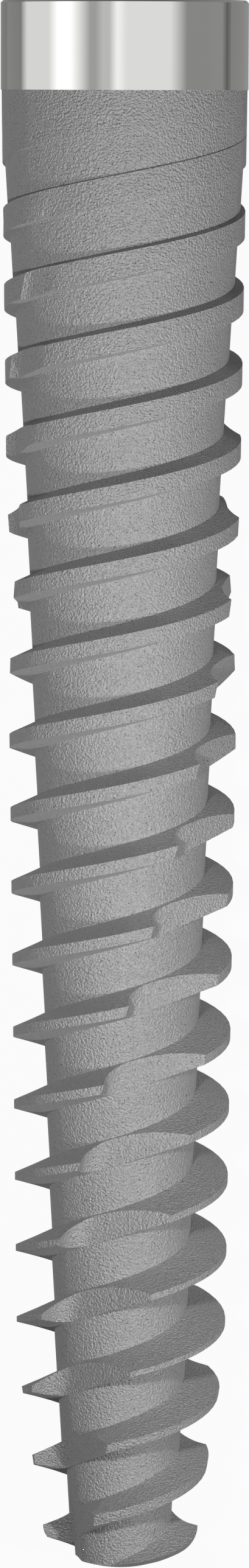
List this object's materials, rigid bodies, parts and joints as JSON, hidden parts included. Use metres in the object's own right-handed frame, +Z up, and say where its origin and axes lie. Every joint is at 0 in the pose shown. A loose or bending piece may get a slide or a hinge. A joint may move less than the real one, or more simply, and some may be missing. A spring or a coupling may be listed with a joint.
{
  "type": "dental implant",
  "caption": "Long tapered screw-shaped dental implant: polished collar, coarse thread that deepens towards a domed tip, steep cutting flutes, hex socket and screw hole in the head.",
  "frame": {"origin": "middle of the rectangle the implant covers as it lies on a table, on the table's surface", "axes": "+Z up, +Y along the implant towards its collar end and level, +X to the right seen from above with the collar at the top; the screw's axis rises 0.79 degrees towards the collar"},
  "size_m": [0.004, 0.0258, 0.004],
  "materials": {
    "blasted_titanium": "grey titanium, grit-blasted and acid-etched matte on the thread and polished on the collar"
  },
  "bodies": {
    "root": {"implant_body": "blasted_titanium"}
  },
  "joints": []
}
